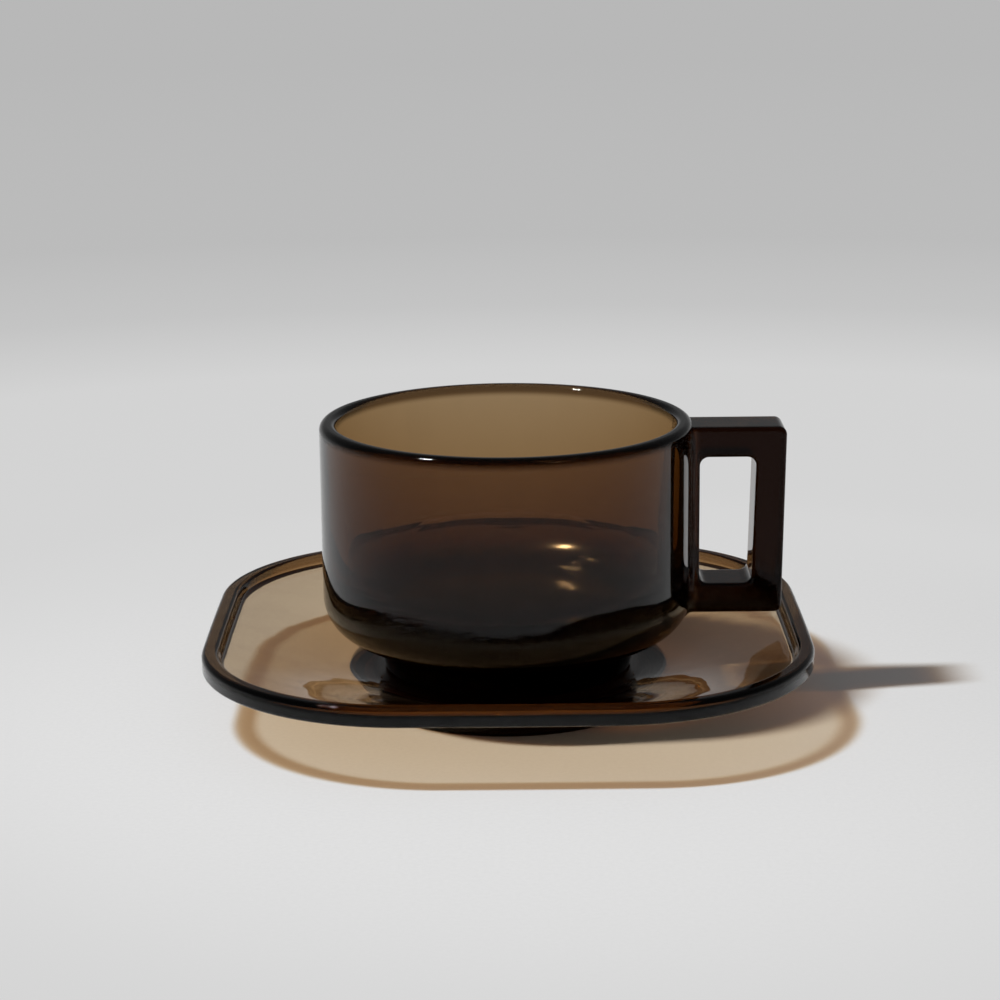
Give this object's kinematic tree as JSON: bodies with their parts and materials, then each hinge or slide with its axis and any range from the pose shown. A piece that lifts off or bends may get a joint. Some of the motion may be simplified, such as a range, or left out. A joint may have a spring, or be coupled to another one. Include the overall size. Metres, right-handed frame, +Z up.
{
  "type": "glass cup and saucer",
  "caption": "Straight round smoked-glass cup with a square loop handle, standing on a rounded-square glass saucer with a raised lip and a round foot.",
  "frame": {"origin": "middle of the saucer's foot ring, on the surface it stands on", "axes": "+Z up along the axis of the cup, +X through the handle, +Y across the handle"},
  "size_m": [0.1452, 0.1452, 0.0685],
  "materials": {
    "cup_glass": "clear pressed glass, smoked brown, glossy",
    "saucer_glass": "clear pressed glass, smoked brown, glossy"
  },
  "bodies": {
    "root": {"cup": "cup_glass", "saucer": "saucer_glass"}
  },
  "joints": []
}
